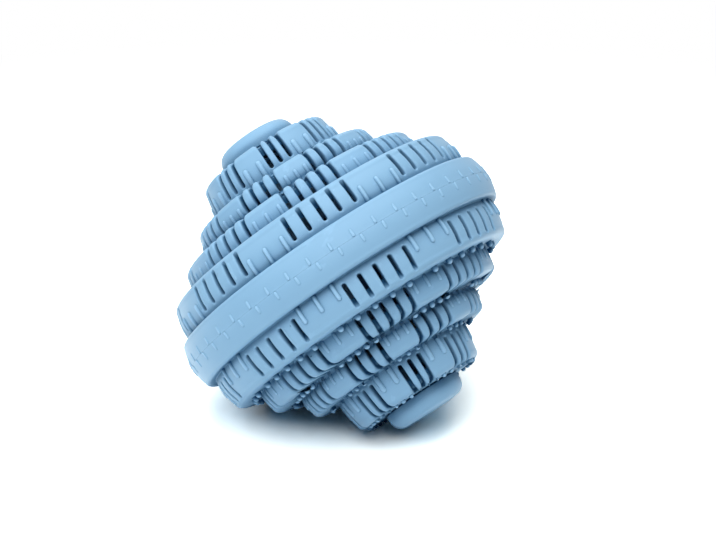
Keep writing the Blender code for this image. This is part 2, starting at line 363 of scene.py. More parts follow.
class Wiring:
    """A node tree with short ways to add nodes, set them and link them."""

    def __init__(self, tree: NodeTree) -> None:
        """Keep the tree that the nodes go into."""
        self.tree = tree

    def feed(self, node: Node, inputs: dict[str | int, object]) -> None:
        """Link or set inputs of a node.

        Args:
            node: The node.
            inputs: For each input a socket, a number or a linear colour.
        """
        for label, value in inputs.items():
            if isinstance(value, NodeSocket):
                self.tree.links.new(value, node.inputs[label])
            elif isinstance(value, tuple):
                node.inputs[label].default_value = (*value, 1.0)
            else:
                node.inputs[label].default_value = value

    def add(self, kind: str, inputs: dict[str | int, object] | None = None, **fields: object) -> Node:
        """Add a node.

        Args:
            kind: Its type, without the word that all shader nodes start with.
            inputs: Its inputs, as feed takes them.
            **fields: Its own settings.

        Returns:
            The node.
        """
        node = self.tree.nodes.new("ShaderNode" + kind)
        for label, value in fields.items():
            setattr(node, label, value)
        self.feed(node, inputs or {})
        return node

    def math(self, operation: str, *values: object) -> NodeSocket:
        """Add a math node of sockets and numbers."""
        return self.add("Math", dict(enumerate(values)), operation=operation).outputs[0]

    def mix(self, factor: object, first: object, second: object) -> NodeSocket:
        """Add a mix of two colours, each a socket or a linear colour."""
        return self.add("Mix", {0: factor, 6: first, 7: second}, data_type="RGBA").outputs[2]

    def ramp(self, value: NodeSocket, low: float, high: float, **fields: object) -> NodeSocket:
        """Add a ramp that goes from zero to one as the value goes from low to high."""
        inputs = {"Value": value, "From Min": low, "From Max": high}
        return self.add("MapRange", inputs, **fields).outputs["Result"]

    def attribute(self, name: str) -> NodeSocket:
        """Add a node that reads a number of the mesh."""
        return self.add("Attribute", attribute_name=name).outputs["Fac"]

    def group(self, tree: NodeTree, output: str, **inputs: object) -> NodeSocket:
        """Add a shared group and give one of its outputs."""
        return self.add("Group", inputs, node_tree=tree).outputs[output]

    def bump(self, height: NodeSocket, strength: float, distance: float) -> NodeSocket:
        """Add a bump node."""
        inputs = {"Strength": strength, "Distance": distance, "Height": height}
        return self.add("Bump", inputs).outputs["Normal"]


class GroupWiring(Wiring):
    """A shared shader group in the making, which reads a vector and numbers and gives numbers."""

    def __init__(self, name: str, inputs: dict[str, float], outputs: tuple[str, ...]) -> None:
        """Make the group with its sockets.

        Args:
            name: Name of the group.
            inputs: Number inputs with their default values.
            outputs: Names of the number outputs.
        """
        super().__init__(bpy.data.node_groups.new(name, "ShaderNodeTree"))
        face = self.tree.interface
        face.new_socket(name="Vector", in_out="INPUT", socket_type="NodeSocketVector")
        for label, value in inputs.items():
            socket = face.new_socket(name=label, in_out="INPUT", socket_type="NodeSocketFloat")
            socket.default_value = value
        for label in outputs:
            face.new_socket(name=label, in_out="OUTPUT", socket_type="NodeSocketFloat")
        self.given = self.tree.nodes.new("NodeGroupInput").outputs
        self.result = self.tree.nodes.new("NodeGroupOutput")

    def noise(self, scale: float | NodeSocket, detail: float) -> NodeSocket:
        """Add a noise texture that reads the group's vector."""
        inputs = {"Vector": self.given["Vector"], "Scale": scale, "Detail": detail}
        return self.add("TexNoise", inputs).outputs["Fac"]

    def close(self, **results: NodeSocket) -> NodeTree:
        """Link the results to the group's outputs and give the finished group."""
        self.feed(self.result, results)
        return self.tree


class ShaderShop:
    """Builds the shared shader node groups and the finishes that use them."""

    FINE_SHARE = 0.3
    COARSE_SCALE = 0.35
    LAND_GRAIN = 0.75
    PLAIN_GRAIN = 0.12
    MIDDLE = 0.5
    CORNER_POINTINESS = (0.505, 0.56)
    WEAR_SCALE = 900.0
    # Ambient occlusion values between which the painted shade in hollows goes from none to full.
    OPEN_SKY = (0.92, 0.42)
    SKY_SAMPLES = 8

    def __init__(self) -> None:
        """Make each shared group once."""
        self.grain = self._grain_group()
        self.drift = self._drift_group()
        # Group of worn edges and of painted shade in hollows from ambient occlusion.
        self.edge = self._wear_and_shade_group()
        self.made: dict[str, Material] = {}

    def _grain_group(self) -> NodeTree:
        """Fine spark eroded grain of a mould.

        Returns:
            The group, which gives a height from 0 to 1.
        """
        group = GroupWiring("mould_grain", {"Scale": 5000.0, "Land": 0.0}, ("Height",))
        scale, land = group.given["Scale"], group.given["Land"]
        fine = group.math("MULTIPLY", group.noise(scale, detail=2.0), self.FINE_SHARE)
        coarse = group.noise(group.math("MULTIPLY", scale, self.COARSE_SCALE), detail=1.0)
        weight = group.math("MULTIPLY_ADD", land, self.LAND_GRAIN, self.PLAIN_GRAIN)
        return group.close(Height=group.math("ADD", group.math("MULTIPLY", coarse, weight), fine))

    def _drift_group(self) -> NodeTree:
        """Slow drift of colour and gloss over a moulded surface.

        Returns:
            The group, which gives a mask from 0 to 1.
        """
        group = GroupWiring("moulding_drift", {"Scale": 60.0, "Contrast": 1.0}, ("Mask",))
        centred = group.math("SUBTRACT", group.noise(group.given["Scale"], detail=3.0), self.MIDDLE)
        mask = group.math("ADD", group.math("MULTIPLY", centred, group.given["Contrast"]), self.MIDDLE)
        mask.node.use_clamp = True
        return group.close(Mask=mask)

    def _wear_and_shade_group(self) -> NodeTree:
        """Worn convex edges from the shape's pointiness, and painted shade in hollows from how much is shut
        in.

        Returns:
            The group, which gives both as masks.
        """
        group = GroupWiring("wear_and_painted_shade", {"Rub": 1.0, "Reach": 0.007}, ("Edge", "Hollow"))
        corner = group.ramp(group.add("NewGeometry").outputs["Pointiness"], *self.CORNER_POINTINESS)
        worn = group.math("MULTIPLY", corner, group.noise(self.WEAR_SCALE, detail=2.0))
        # Painted shade: the less open sky ambient occlusion finds, the more the colour is darkened.
        sky = group.add("AmbientOcclusion", {"Distance": group.given["Reach"]}, samples=self.SKY_SAMPLES)
        return group.close(Edge=group.math("MULTIPLY", worn, group.given["Rub"]),
                           Hollow=group.ramp(sky.outputs["AO"], *self.OPEN_SKY))

    def finish(self, finish: PlasticFinish | CeramicFinish) -> Material:
        """Material of a finish, made once.

        Args:
            finish: The plastic or the clay.

        Returns:
            The material.
        """
        if finish.name not in self.made:
            material = bpy.data.materials.new(finish.name)
            material.use_nodes = True
            material.diffuse_color = (*finish.colour, 1.0)
            wires = Wiring(material.node_tree)
            shader = wires.tree.nodes["Principled BSDF"]
            wires.feed(shader, {"Base Color": finish.colour, "Roughness": finish.roughness})
            dressing = self._clay if isinstance(finish, CeramicFinish) else self._plastic
            wires.feed(shader, dressing(finish, wires))
            self.made[finish.name] = material
        return self.made[finish.name]

    def _plastic(self, finish: PlasticFinish, wires: Wiring) -> dict[str, object]:
        """Moulded plastic with mould grain, slow colour drift, lightly rubbed edges and painted shade in
        hollows.

        Args:
            finish: The colours and sizes of the plastic.
            wires: The material's node tree.

        Returns:
            Inputs of the material's shader.
        """
        coords = wires.add("TexCoord").outputs["Object"]
        drift = wires.group(self.drift, "Mask", Vector=coords, Scale=finish.drift_scale,
                            Contrast=finish.drift_contrast)
        edge = wires.group(self.edge, "Edge", Vector=coords, Rub=finish.rub)
        painted_shade_mask = edge.node.outputs["Hollow"]
        grain = wires.group(self.grain, "Height", Vector=coords, Scale=finish.grain_scale,
                            Land=wires.attribute("land"))
        drifted = wires.math("MULTIPLY", drift, finish.drift_share)
        base = wires.mix(drifted, finish.colour, finish.deep_colour)
        worn = wires.math("MULTIPLY", edge, finish.rub_share)
        rubbed = wires.mix(worn, base, finish.lighter(finish.rubbed_gain))
        marked = wires.mix(wires.attribute("raised"), rubbed, finish.lighter(finish.raised_gain))
        # Painted shade from ambient occlusion, lessened on slot walls near the surface where light still
        # reaches.
        lit = wires.math("MULTIPLY_ADD", wires.attribute("cut"), -finish.cut_light, 1.0)
        painted_shade_share = wires.math("MULTIPLY", painted_shade_mask, lit)
        least = finish.roughness - finish.roughness_spread
        rough = wires.math("MULTIPLY_ADD", grain, finish.roughness_spread * 2.0, least)
        return {
            # The base colour is mixed towards the colour of painted shade.
            "Base Color": wires.mix(painted_shade_share, marked, finish.painted_shade_colour),
            "Roughness": wires.math("MULTIPLY_ADD", painted_shade_mask, finish.hollow_roughness, rough),
            "Normal": wires.bump(grain, finish.grain_bump, finish.grain_depth),
            "Specular IOR Level": finish.specular,
        }

    def _clay(self, finish: CeramicFinish, wires: Wiring) -> dict[str, object]:
        """Matte fired clay with specks, small pits and painted shade between beads.

        Args:
            finish: The colours and sizes of the clay.
            wires: The material's node tree.

        Returns:
            Inputs of the material's shader.
        """
        coords = wires.add("TexCoord").outputs["Object"]
        drift = wires.group(self.drift, "Mask", Vector=coords, Scale=finish.drift_scale,
                            Contrast=finish.drift_contrast)
        specks = wires.group(self.drift, "Mask", Vector=coords, Scale=finish.speck_scale,
                             Contrast=finish.speck_contrast)
        pits = wires.group(self.grain, "Height", Vector=coords, Scale=finish.pit_scale, Land=1.0)
        painted_shade_mask = wires.group(self.edge, "Hollow", Vector=coords, Rub=0.0, Reach=finish.shade_reach)
        darker = tuple(channel * finish.drift_dark for channel in finish.colour)
        spots = wires.math("POWER", specks, finish.speck_power)
        spotted = wires.mix(spots, wires.mix(drift, finish.colour, darker), finish.speck_colour)
        # Painted shade between beads, from ambient occlusion.
        depth = wires.math("MULTIPLY", painted_shade_mask, finish.shade)
        spread, least = finish.roughness_spread, finish.roughness - finish.roughness_spread
        return {
            "Base Color": wires.mix(depth, spotted, finish.painted_shade_colour),
            "Roughness": wires.math("MULTIPLY_ADD", drift, 2.0 * spread, least),
            "Normal": wires.bump(pits, finish.pit_bump, finish.pit_depth),
        }


class MeshShop:
    """Mesh tools that several pieces share."""

    @staticmethod
    def circle(steps: int) -> list[float]:
        """Angles of equal steps round a full turn."""
        return [2.0 * pi * index / steps for index in range(steps)]

    @staticmethod
    def arc(centre: Point, radius: float, start: float, end: float, steps: int) -> list[Point]:
        """Points on an arc in the radius and height plane, both ends included."""
        angles = [start + (end - start) * step / steps for step in range(steps + 1)]
        return [(centre[0] + radius * cos(a), centre[1] + radius * sin(a)) for a in angles]

    @staticmethod
    def mirror(points: list[Point]) -> list[Point]:
        """Points and their mirror image at height zero, in the opposite order."""
        return points + [(radius, -height) for radius, height in reversed(points)]

    @staticmethod
    def divide(points: list[Point], longest: float) -> list[Point]:
        """Add points to an outline so that no stretch is longer than a limit.

        Args:
            points: The outline.
            longest: Longest stretch allowed.

        Returns:
            The finer outline.
        """
        finer = [points[0]]
        for (radius, height), after in zip(points, points[1:]):
            across, up = after[0] - radius, after[1] - height
            parts = max(1, int(sqrt(across ** 2 + up ** 2) / longest + NEARLY))
            shares = [part / parts for part in range(1, parts + 1)]
            finer += [(radius + across * share, height + up * share) for share in shares]
        return finer

    @staticmethod
    def write(name: str, bm: bmesh.types.BMesh) -> Mesh:
        """Turn an edit mesh into a named mesh and free it.

        Args:
            name: Name of the mesh.
            bm: The edit mesh.

        Returns:
            The mesh.
        """
        mesh = bpy.data.meshes.new(name)
        bm.to_mesh(mesh)
        bm.free()
        return mesh

    @staticmethod
    def revolve(name: str, profile: list[Point], segments: int, closed: bool = True) -> Mesh:
        """Turn an outline about Z into a closed body.

        Args:
            name: Name of the mesh.
            profile: Points of radius and height.
            segments: Number of facets round the axis.
            closed: True for a ring like outline, False where both ends lie on the axis.

        Returns:
            The mesh.
        """
        bm = bmesh.new()
        rings = []
        for radius, height in profile:
            turns = MeshShop.circle(segments) if radius > 0.0 else [0.0]
            rings.append([bm.verts.new((radius * cos(a), radius * sin(a), height)) for a in turns])
        pairs = list(zip(rings, rings[1:]))
        if closed:
            pairs.append((rings[-1], rings[0]))
        for low, high in pairs:
            for index in range(segments):
                after = (index + 1) % segments
                quad = [ring[place % len(ring)] for ring, place in
                        ((low, index), (low, after), (high, after), (high, index))]
                corners = list(dict.fromkeys(quad))
                if len(corners) > 2:
                    bm.faces.new(corners)
        bmesh.ops.recalc_face_normals(bm, faces=bm.faces)
        return MeshShop.write(name, bm)

    @staticmethod
    def loft(sections: list | np.ndarray) -> Form:
        """Skin a row of closed sections and close both ends.

        Args:
            sections: Sections of as many points each, with three coordinates.

        Returns:
            The corner array and the faces.
        """
        sections = np.array(sections)
        rows, count = sections.shape[:2]
        faces = [tuple(range(count)), tuple(range(rows * count - 1, (rows - 1) * count - 1, -1))]
        for low in range(0, (rows - 1) * count, count):
            high = low + count
            for place in range(count):
                after = (place + 1) % count
                faces.append((low + after, low + place, high + place, high + after))
        return sections.reshape(-1, 3), faces

    @staticmethod
    def repeat(name: str, forms: list[tuple[Form, list[float]]]) -> Mesh:
        """Put copies of closed forms round the Z axis into one mesh.

        Args:
            name: Name of the mesh.
            forms: Each form with the angles of its copies.

        Returns:
            The mesh, with every form's faces outward.
        """
        corners: list[np.ndarray] = []
        faces: list[tuple[int, ...]] = []
        total = 0
        for (points, sides), turns in forms:
            for a in turns:
                spin = np.array([[cos(a), -sin(a), 0.0], [sin(a), cos(a), 0.0], [0.0, 0.0, 1.0]])
                corners.append(points @ spin.T)
                faces += [tuple(total + index for index in side) for side in sides]
                total += len(points)
        mesh = bpy.data.meshes.new(name)
        mesh.from_pydata(np.concatenate(corners).tolist(), [], faces)
        bm = bmesh.new()
        bm.from_mesh(mesh)
        bmesh.ops.recalc_face_normals(bm, faces=bm.faces)
        bm.to_mesh(mesh)
        bm.free()
        return mesh

    @staticmethod
    def show(name: str, data: bpy.types.ID) -> Object:
        """Link a mesh, lamp or camera to the scene as an object.

        Args:
            name: Name of the object.
            data: The mesh, lamp or camera.

        Returns:
            The object.
        """
        item = bpy.data.objects.new(name, data)
        bpy.context.scene.collection.objects.link(item)
        return item

    @staticmethod
    def combine(name: str, base: Mesh, joined: Mesh, cut: Mesh) -> Mesh:
        """Join one mesh to a base and cut another from it.

        Args:
            name: Name of the new mesh.
            base: The mesh that is worked on.
            joined: The mesh that is joined to it.
            cut: The mesh that is then cut from it.

        Returns:
            The finished mesh.
        """
        item = MeshShop.show(name + "_blank", base)
        spares = [item]
        for operation, mesh in (("UNION", joined), ("DIFFERENCE", cut)):
            modifier = item.modifiers.new(operation.lower(), "BOOLEAN")
            modifier.operation = operation
            modifier.solver = "MANIFOLD"
            modifier.object = MeshShop.show(mesh.name + "_tool", mesh)
            spares.append(modifier.object)
        bpy.context.view_layer.update()
        ready = item.evaluated_get(bpy.context.evaluated_depsgraph_get())
        finished = bpy.data.meshes.new_from_object(ready)
        finished.name = name
        for spare in spares:
            bpy.data.objects.remove(spare, do_unlink=True)
        return finished

    @staticmethod
    def smooth(mesh: Mesh, angle: float = radians(38.0)) -> Mesh:
        """Shade a mesh smooth but for its sharp corners.

        Args:
            mesh: The mesh.
            angle: Angle between two faces from which their edge is sharp.

        Returns:
            The same mesh.
        """
        mesh.shade_smooth()
        mesh.set_sharp_from_angle(angle=angle)
        return mesh


@dataclass
class SlotForm:
    """A slot cutter with rounded ends and a rolled lip that follows the tier's outline."""

    plan: BallPlan
    number: int
    steps: int = 12
    lip: float = 0.46 * MM
    lip_shares: Row = (1.0, 0.6, 0.25)
    lip_reach: float = 1.7
    inner_shares: Row = (0.85, 0.5)
    overrun: float = 1.0 * MM
    inward: Row = (0.0, 30.3 * MM, 22.4 * MM, 13.2 * MM)
    past: float = 2.0 * MM
    through: float = 0.15 * MM
    fade: float = 3.6 * MM
    bend: float = 2.2 * MM
    bend_share: float = 0.86
    notch: float = 1.40 * MM
    tuck: float = 0.12 * MM
    swell: float = 0.50 * MM
    swell_start: float = 3.6 * MM
    swell_rise: float = 2.2 * MM
    swell_end: float = 1.4 * MM
    swell_fall: float = 0.8 * MM
    clear: float = 0.03 * MM
    hair: float = 0.004 * MM

    @property
    def tier(self) -> Tier:
        """The tier that the slot is cut into."""
        return self.plan.tiers[self.number]

    def track(self) -> tuple[np.ndarray, np.ndarray]:
        """Outline of the tier from its foot over the shoulder to the foot of the next tier.

        Returns:
            Its points and their distances along it.
        """
        points = self.plan.side(self.number) + self.plan.shoulder(self.number, self.steps)
        line = np.array(points + [(self.inward[self.number] - self.past, self.tier.top)])
        length = np.linalg.norm(np.diff(line, axis=0), axis=1)
        return line, np.concatenate([[0.0], np.cumsum(length)])

    def at(self, along: np.ndarray, depth: np.ndarray) -> np.ndarray:
        """Points at a distance along the outline and a depth under it.

        Args:
            along: Distances from the foot.
            depth: Depths below the surface.

        Returns:
            Array of radius and height.
        """
        line, reach = self.track()
        step = np.diff(line, axis=0)
        length = np.linalg.norm(step, axis=1)
        place = np.clip(np.searchsorted(reach, along, side="right") - 1, 0, len(length) - 1)
        share = (along - reach[place]) / length[place]
        base = line[place] + step[place] * share[:, None]
        knots = 0.5 * (reach[:-1] + reach[1:])
        across, up = step[:, 1] / length, -step[:, 0] / length
        normal = np.stack([np.interp(along, knots, across), np.interp(along, knots, up)], axis=1)
        normal /= np.linalg.norm(normal, axis=1)[:, None]
        return base - normal * depth[:, None]

    def ends(self) -> Point:
        """First and last distance of the slot along the outline.

        Returns:
            Both distances.
        """
        line, reach = self.track()
        tier, heights = self.tier, line[:-1, 1]
        first = float(np.interp(tier.foot + tier.slot_foot, heights, reach[:-1]))
        if tier.through_rim:
            return first, float(reach[-2] + (line[-2, 0] - self.inward[self.number]))
        return first, float(np.interp(tier.top + tier.slot_head, heights, reach[:-1]))

    def rim(self, last: float) -> float:
        """Distance along the outline of the shoulder's end, from the distance of the slot's end."""
        return last - (self.tier.top_radius - self.plan.shoulder_round - self.inward[self.number])

    def floor(self, start: np.ndarray, goal: np.ndarray) -> np.ndarray:
        """Deep edge of the cut: through the wall, then out of the fillet behind the shoulder.

        Args:
            start: Radius and height of the deepest point of the lip at the foot.
            goal: Radius and height of the deepest point of the lip at the head.

        Returns:
            Points between the two, as many as the form has steps.
        """
        count = self.steps // 2
        radius = self.plan.inner_radius(self.number) - self.through
        turn = self.tier.top - self.fade
        straight = np.stack([np.full(count, radius), np.linspace(start[1], turn, count)], axis=1)
        share = np.arange(1, count + 1) / count
        if self.tier.through_rim:
            near, level = radius - self.bend, self.tier.top - self.notch
            bend = np.stack([near + (radius - near) * np.cos(0.5 * pi * share),
                             turn + (level - turn) * np.sin(0.5 * pi * share)], axis=1)
            bend[-1, 0] = goal[0] + self.tuck
        else:
            corner = np.array([radius, turn])
            bend = corner + (goal - corner) * (share * self.bend_share)[:, None]
        return np.concatenate([straight, bend])

    def section(self, across: float, deep: bool) -> np.ndarray:
        """One section of the cutter at a distance from its middle plane.

        Args:
            across: Distance from the middle plane of the slot.
            deep: True inside the slot's width, where the cut goes through the wall.

        Returns:
            Closed loop of radius and height.
        """
        half, lip, tier = 0.5 * self.plan.slot_width, self.lip, self.tier
        first, last = self.ends()
        along, depth = [], []
        for share in (*self.lip_shares, 0.0):
            beyond = max(lip * share, abs(across) - half)
            along.append(half - sqrt(max((half + beyond) ** 2 - across ** 2, 0.0)))
            fall = lip - sqrt(max(lip ** 2 - (lip - beyond) ** 2, 0.0))
            depth.append(fall if beyond < NEARLY * lip else -self.clear)
        along, depth = np.array(along), np.array(depth)
        low = self.at(first + along, depth)
        high = self.at(last - along, depth)[::-1]
        if deep:
            middle = self.floor(low[-1], high[0])
        else:
            start, stop = first + along[-1], last - along[-1]
            run = np.linspace(start, stop, self.steps)
            if tier.through_rim:
                beyond_rim = self.rim(last) + self.swell_end
                run = np.append(np.linspace(start, beyond_rim, self.steps - 1), stop)
            middle = self.at(run, depth[-1] + self.rounding(run, last, abs(across) - half))
        out, over = tier.base_radius + self.overrun, tier.top + self.overrun
        foot = (out, low[0, 1])
        if tier.through_rim:
            cap = [(high[-1, 0], over), (out, over), foot]
        else:
            cap = [(out, high[-1, 1]), (out, 0.5 * (high[-1, 1] + low[0, 1])), foot]
        return np.concatenate([low, middle, high, np.array(cap)])

    def rounding(self, run: np.ndarray, last: float, beyond: float) -> np.ndarray:
        """Extra depth beside the slot where it goes over the rim, so that the ribs end round.

        Args:
            run: Distances along the outline.
            last: Distance at which the slot ends.
            beyond: Distance beside the slot's own width.

        Returns:
            The extra depth at each distance.
        """
        if not self.tier.through_rim:
            return np.zeros(len(run))
        share = max(0.0, 1.0 - beyond / (self.lip_reach * self.lip))
        rim = self.rim(last)
        rise = np.clip((run - (rim - self.swell_start)) / self.swell_rise, 0.0, 1.0)
        fall = np.clip((rim + self.swell_end - run) / self.swell_fall, 0.0, 1.0)
        return self.swell * share * rise * rise * (3.0 - 2.0 * rise) * fall

    def form(self) -> Form:
        """The cutter at azimuth zero.

        Returns:
            Its corners and faces.
        """
        half, lip = 0.5 * self.plan.slot_width, self.lip
        side = [(half + lip * share, False) for share in (self.lip_reach, *self.lip_shares)]
        side += [(half + self.hair, False), (half - self.hair, True)]
        side += [(half * share, True) for share in self.inner_shares]
        sections = []
        for across, deep in [(-y, deep) for y, deep in side] + [(0.0, True)] + side[::-1]:
            loop = self.section(across, deep)
            sections.append(np.stack([loop[:, 0], np.full(len(loop), across), loop[:, 1]], axis=1))
        return MeshShop.loft(sections)


@dataclass
class RaisedBar:
    """A raised bar with a domed top, sunk a little into the surface that it stands on.

    Its feet are points of the surface from the bar's start to its end.
    """

    feet: list[Point]
    width: float
    height: float
    round_start: bool = False
    hem: float = 0.02 * MM
    stops: Row = (0.0, 0.12, 0.3, 0.6, 1.0)
    foot_share: float = 1.04
    dome: tuple[Point, ...] = ((0.84, 0.42), (0.56, 0.82), (0.24, 1.0))
    dome_power: float = 0.8
    least_width: float = 0.05
    least_height: float = 0.08

    def form(self) -> Form:
        """The bar at azimuth zero.

        Returns:
            Its corners and faces.
        """
        radii, heights = zip(*self.feet)
        z0, z1 = heights[0], heights[-1]
        half = 0.5 * self.width
        first = half if self.round_start else self.hem
        run = [z0 + first * stop for stop in self.stops]
        run += [z for z in heights[1:-1] if run[-1] < z < z1 - half]
        run += [z1 - half * stop for stop in reversed(self.stops)]
        sections = []
        for z in run:
            near = min(1.0, (z1 - z) / half)
            if self.round_start:
                near = min(near, (z - z0) / half)
            full = sqrt(max(1.0 - (1.0 - near) ** 2, 0.0))
            wide = max(half * full, half * self.least_width)
            tall = self.height * max(full, self.least_height) ** self.dome_power
            radius = float(np.interp(z, heights, radii))
            side = [(self.foot_share, SUNK), (self.foot_share, -self.hem)]
            side += [(out, up * tall) for out, up in self.dome]
            row = [(-out, up) for out, up in side] + side[::-1]
            sections.append([(radius + up, out * wide, z) for out, up in row])
        return MeshShop.loft(sections)


@dataclass
class HalfShell:
    """The slotted half shell that makes both halves of the ball."""

    plan: BallPlan
    studded: bool = True
    segments: int = 288
    parting: float = 0.006 * MM
    parting_chamfer: float = 0.022 * MM
    outer_stretch: float = 1.0 * MM
    inner_stretch: float = 2.5 * MM
    ease: float = 0.3 * MM
    ledge_round: float = 0.5 * MM
    ledge_steps: int = 4
    ledge_clear: float = 1.5
    fillet_steps: int = 8
    shoulder_steps: int = 10
    band_steps: int = 8
    band_power: float = 2.2
    bar_stops: int = 7
    dashes: Marks = Marks(1, 0.0, radians(3.0))
    dash_count: int = 45
    dash_span: Point = (0.1 * MM, 2.7 * MM)
    dash_drop: float = 0.25 * MM
    dash_width: float = 1.05 * MM
    dash_height: float = 0.32 * MM
    dash_light: float = 0.62
    nub_light: float = 0.25
    nub_facets: int = 14
    nub_straight: float = 0.2
    nub_angles: Row = (0.3, 0.6, 0.9, 1.2, 1.42)
    nub_halo: float = 1.05
    cut_margin: Point = (0.25 * MM, 0.6 * MM)
    cut_start: float = 0.10 * MM
    cut_full: float = 0.5 * MM
    cut_fade: float = 1.4 * MM
    land_margin: Point = (0.05 * MM, 0.02 * MM)

    def outer_outline(self) -> list[Point]:
        """Outside of the half shell from the parting plane to the end hole.

        Returns:
            Points of radius and height.
        """
        plan = self.plan
        parting, chamfer = self.parting, self.parting_chamfer
        edge, shoulder = parting + chamfer, plan.band_half_height - plan.band_edge_round
        points = [(plan.band_radius - chamfer, parting), (plan.band_radius, edge)]
        crown, rise = plan.band_radius - plan.band_edge_radius, shoulder - parting - chamfer
        for step in range(1, self.band_steps + 1):
            share = step / self.band_steps
            inset = crown * share ** self.band_power
            points.append((plan.band_radius - inset, edge + rise * share))
        corner = (plan.band_edge_radius - plan.band_edge_round, shoulder)
        points += MeshShop.arc(corner, plan.band_edge_round, 0.0, 0.5 * pi, self.band_steps)[1:]
        for number, tier in enumerate(plan.tiers):
            small = self.ledge_round if number else self.ease
            fillet = (tier.base_radius + small, tier.foot + small)
            points += MeshShop.arc(fillet, small, 1.5 * pi, pi, self.ledge_steps)
            clear = tier.foot + self.ledge_clear * small
            points += [point for point in plan.side(number) if point[1] > clear]
            points += plan.shoulder(number, self.shoulder_steps)
        hole, top = plan.stem_radius + plan.gap, plan.tiers[3].top
        return points + [(hole + self.ease, top), (hole, top - self.ease)]

    def inner_outline(self) -> list[Point]:
        """Inside of the half shell from the end hole back to the parting plane.

        Returns:
            Points of radius and height.
        """
        plan, fillet = self.plan, self.plan.inner_fillet
        points = [(plan.stem_radius + plan.gap, plan.inner_top(3))]
        for tier in (3, 2, 1, 0):
            centre = (plan.inner_radius(tier) - fillet, plan.inner_top(tier) - fillet)
            points += MeshShop.arc(centre, fillet, 0.5 * pi, 0.0, self.fillet_steps)
            if tier:
                points.append((plan.inner_radius(tier), plan.inner_top(tier - 1)))
        lip, seat = plan.ring_half_height + plan.gap, plan.ring_seat
        points += [(plan.inner_radius(0), lip), (seat, lip)]
        return points + [(seat, self.parting + self.ease), (seat + self.ease, self.parting)]

    def nub(self, tier: Tier) -> Form:
        """A small domed stud that stands on a tier's ledge.

        Args:
            tier: The tier, with the stud's circle, radius and height.

        Returns:
            Corners and faces at azimuth zero.
        """
        straight = max(tier.nub_height - tier.nub_radius, self.nub_straight * tier.nub_height)
        dome = tier.nub_height - straight
        rings = [(1.0, SUNK), (1.0, straight)]
        rings += [(cos(a), straight + dome * sin(a)) for a in self.nub_angles]
        sections = []
        for share, up in rings:
            radius = tier.nub_radius * share
            sections.append([(tier.nub_circle + radius * cos(a), radius * sin(a), tier.top + up)
                             for a in MeshShop.circle(self.nub_facets)])
        return MeshShop.loft(sections)

    def relief(self) -> Mesh:
        """Every raised bar, band dash and ledge nub of the half shell.

        Returns:
            One mesh of closed forms.
        """
        plan = self.plan
        forms = []
        for number, tier in enumerate(plan.tiers):
            radii, heights = zip(*plan.side(number), (tier.top_radius, tier.top - plan.shoulder_round))
            stops = np.linspace(tier.foot, tier.tick_top, self.bar_stops)
            feet = [(float(np.interp(z, heights, radii)), z) for z in stops]
            feet[0] = (feet[0][0], tier.foot - self.ease)
            bar = RaisedBar(feet, tier.tick_width, tier.tick_height)
            forms.append((bar.form(), tier.ticks.turns(plan.groups)))
            if self.studded:
                forms.append((self.nub(tier), tier.nubs.turns(plan.groups)))
        low, high = self.dash_span
        feet = [(plan.band_radius, low), (plan.band_radius - self.dash_drop, high)]
        dash = RaisedBar(feet, self.dash_width, self.dash_height, round_start=True)
        forms.append((dash.form(), self.dashes.turns(self.dash_count)))
        return MeshShop.repeat("relief", forms)

    def slots(self) -> Mesh:
        """Cutters for every slot of the half shell.

        Returns:
            One mesh of closed forms.
        """
        forms = []
        for number, tier in enumerate(self.plan.tiers):
            forms.append((SlotForm(self.plan, number).form(), tier.slots.turns(self.plan.groups)))
        return MeshShop.repeat("slots", forms)

    @staticmethod
    def share(value: np.ndarray, full: float) -> np.ndarray:
        """Each value as a share of a full one, from zero to one."""
        return np.clip(value / full, 0.0, 1.0)

    def mark(self, mesh: Mesh) -> None:
        """Write the three numbers that the shell's finish reads on each corner.

        The land is one in a slotted stretch, where the mould grain is coarser. The cut tells how near the
        surface a corner of a slot's side wall lies, where light still reaches it, and so how much painted
        shade is taken off there. The raised number tells how much lighter a bar, dash or nub is than the
        wall round it.

        Args:
            mesh: The finished half shell in its own frame.
        """
        spots = np.empty(len(mesh.vertices) * 3)
        mesh.vertices.foreach_get("co", spots)
        x, y, height = spots.reshape(-1, 3).T
        radius, azimuth = np.hypot(x, y), np.arctan2(y, x)
        step = 2.0 * pi / self.plan.groups
        land, cut = np.zeros(len(radius)), np.zeros(len(radius))
        out = self.share(radius - self.plan.band_radius, 0.5 * self.dash_height)
        raised = np.where(height < self.dash_span[1], self.dash_light * out, 0.0)
        for number, tier in enumerate(self.plan.tiers):
            away = np.abs((azimuth - tier.slots.offset + 0.5 * step) % step - 0.5 * step)
            slotted = (height > tier.foot + self.land_margin[0]) & (height <= tier.top + self.land_margin[1])
            slotted &= away < 0.5 * tier.slots.count * tier.slots.pitch
            land = np.where(slotted, 1.0, land)
            radii, heights = zip(*self.plan.side(number))
            deep = np.interp(height, heights, radii) - radius
